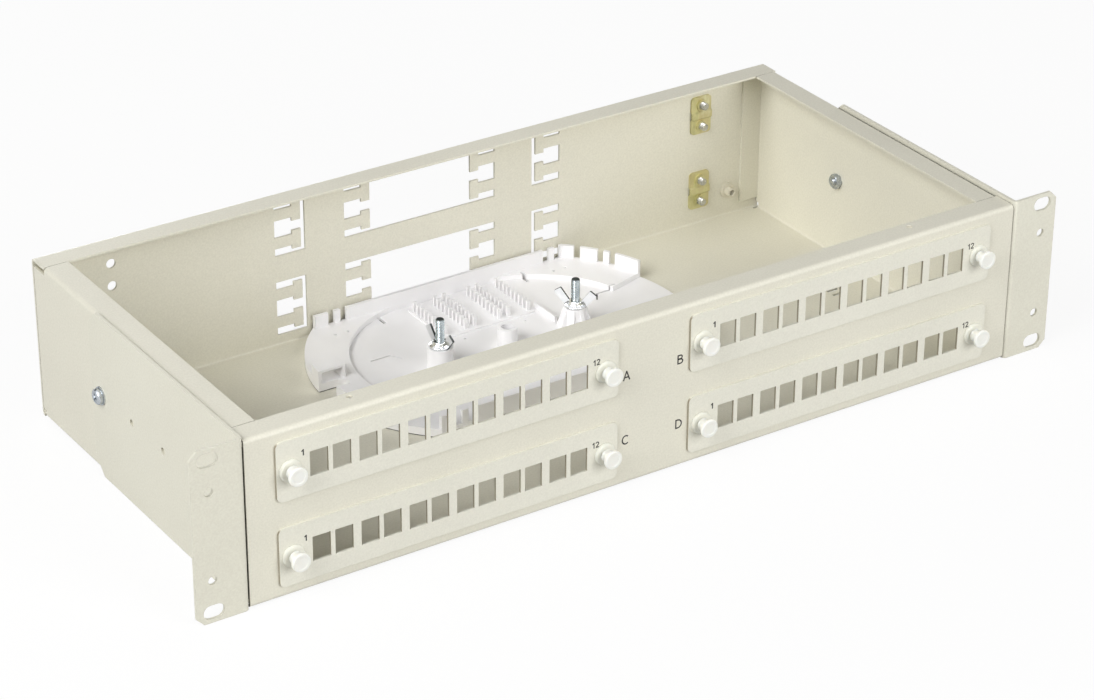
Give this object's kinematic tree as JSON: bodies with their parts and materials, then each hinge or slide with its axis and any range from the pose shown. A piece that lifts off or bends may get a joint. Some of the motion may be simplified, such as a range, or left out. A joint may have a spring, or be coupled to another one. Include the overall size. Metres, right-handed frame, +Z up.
{
  "type": "fibre patch panel",
  "caption": "Open rack-mount sheet-metal tray with rows of coupler windows on latched front plates, rear cable cut-outs with tie tongues and a white splice cassette held by wing nuts.",
  "frame": {"origin": "centre of the rack ear hole pattern, in the rear faces of the ears, where they meet the rack rails", "axes": "+X to the right seen from the front, +Y into the rack, +Z up"},
  "size_m": [0.4826, 0.2196, 0.087],
  "materials": {
    "tray_coat": "fine-textured light ivory powder coat",
    "bracket_coat": "fine-textured light ivory powder coat",
    "plate_coat": "fine-textured light ivory powder coat",
    "zinc": "bright zinc plate",
    "sleeve_nylon": "natural nylon",
    "plunger_nylon": "natural nylon",
    "cassette_plastic": "white moulded plastic, satin",
    "stud_zinc": "bright zinc plate on a rolled thread",
    "wing_nut_zinc": "bright zinc plate",
    "chromate": "yellow chromate on zinc",
    "clamp_screw_zinc": "bright zinc plate",
    "earth_coat": "powder coated over"
  },
  "bodies": {
    "chassis": {"tray": "tray_coat", "left_rack_bracket": "bracket_coat", "left_bracket_screw": "zinc", "left_bracket_washer": "zinc", "left_bracket_nut": "zinc", "right_rack_bracket": "bracket_coat", "right_bracket_screw": "zinc", "right_bracket_washer": "zinc", "right_bracket_nut": "zinc", "adapter_plate_a": "plate_coat", "latch_sleeve_a1": "sleeve_nylon", "latch_sleeve_a2": "sleeve_nylon", "adapter_plate_b": "plate_coat", "latch_sleeve_b1": "sleeve_nylon", "latch_sleeve_b2": "sleeve_nylon", "adapter_plate_c": "plate_coat", "latch_sleeve_c1": "sleeve_nylon", "latch_sleeve_c2": "sleeve_nylon", "adapter_plate_d": "plate_coat", "latch_sleeve_d1": "sleeve_nylon", "latch_sleeve_d2": "sleeve_nylon", "splice_cassette": "cassette_plastic", "left_cassette_stud": "stud_zinc", "right_cassette_stud": "stud_zinc", "lower_cable_clamp": "chromate", "upper_cable_clamp": "chromate", "clamp_screw_1": "clamp_screw_zinc", "clamp_screw_2": "clamp_screw_zinc", "clamp_screw_3": "clamp_screw_zinc", "clamp_screw_4": "clamp_screw_zinc", "earth_insert": "earth_coat"},
    "plunger_a1": {"latch_plunger_a1": "plunger_nylon"},
    "plunger_a2": {"latch_plunger_a2": "plunger_nylon"},
    "plunger_b1": {"latch_plunger_b1": "plunger_nylon"},
    "plunger_b2": {"latch_plunger_b2": "plunger_nylon"},
    "plunger_c1": {"latch_plunger_c1": "plunger_nylon"},
    "plunger_c2": {"latch_plunger_c2": "plunger_nylon"},
    "plunger_d1": {"latch_plunger_d1": "plunger_nylon"},
    "plunger_d2": {"latch_plunger_d2": "plunger_nylon"},
    "left_nut": {"left_wing_nut": "wing_nut_zinc"},
    "right_nut": {"right_wing_nut": "wing_nut_zinc"}
  },
  "joints": [
    {"name": "plunger_a1_slide", "type": "slide", "parent": "chassis", "child": "plunger_a1", "axis": [0, -1, 0], "range_m": [0, 0.006]},
    {"name": "plunger_a2_slide", "type": "slide", "parent": "chassis", "child": "plunger_a2", "axis": [0, -1, 0], "range_m": [0, 0.006]},
    {"name": "plunger_b1_slide", "type": "slide", "parent": "chassis", "child": "plunger_b1", "axis": [0, -1, 0], "range_m": [0, 0.006]},
    {"name": "plunger_b2_slide", "type": "slide", "parent": "chassis", "child": "plunger_b2", "axis": [0, -1, 0], "range_m": [0, 0.006]},
    {"name": "plunger_c1_slide", "type": "slide", "parent": "chassis", "child": "plunger_c1", "axis": [0, -1, 0], "range_m": [0, 0.006]},
    {"name": "plunger_c2_slide", "type": "slide", "parent": "chassis", "child": "plunger_c2", "axis": [0, -1, 0], "range_m": [0, 0.006]},
    {"name": "plunger_d1_slide", "type": "slide", "parent": "chassis", "child": "plunger_d1", "axis": [0, -1, 0], "range_m": [0, 0.006]},
    {"name": "plunger_d2_slide", "type": "slide", "parent": "chassis", "child": "plunger_d2", "axis": [0, -1, 0], "range_m": [0, 0.006]},
    {"name": "left_nut_turn", "type": "hinge", "parent": "chassis", "child": "left_nut", "pos_m": [-0.0303, 0.1386, -0.028], "axis": [0, 0, 1], "continuous": true},
    {"name": "right_nut_turn", "type": "hinge", "parent": "chassis", "child": "right_nut", "pos_m": [0.0501, 0.1386, -0.028], "axis": [0, 0, 1], "continuous": true}
  ]
}
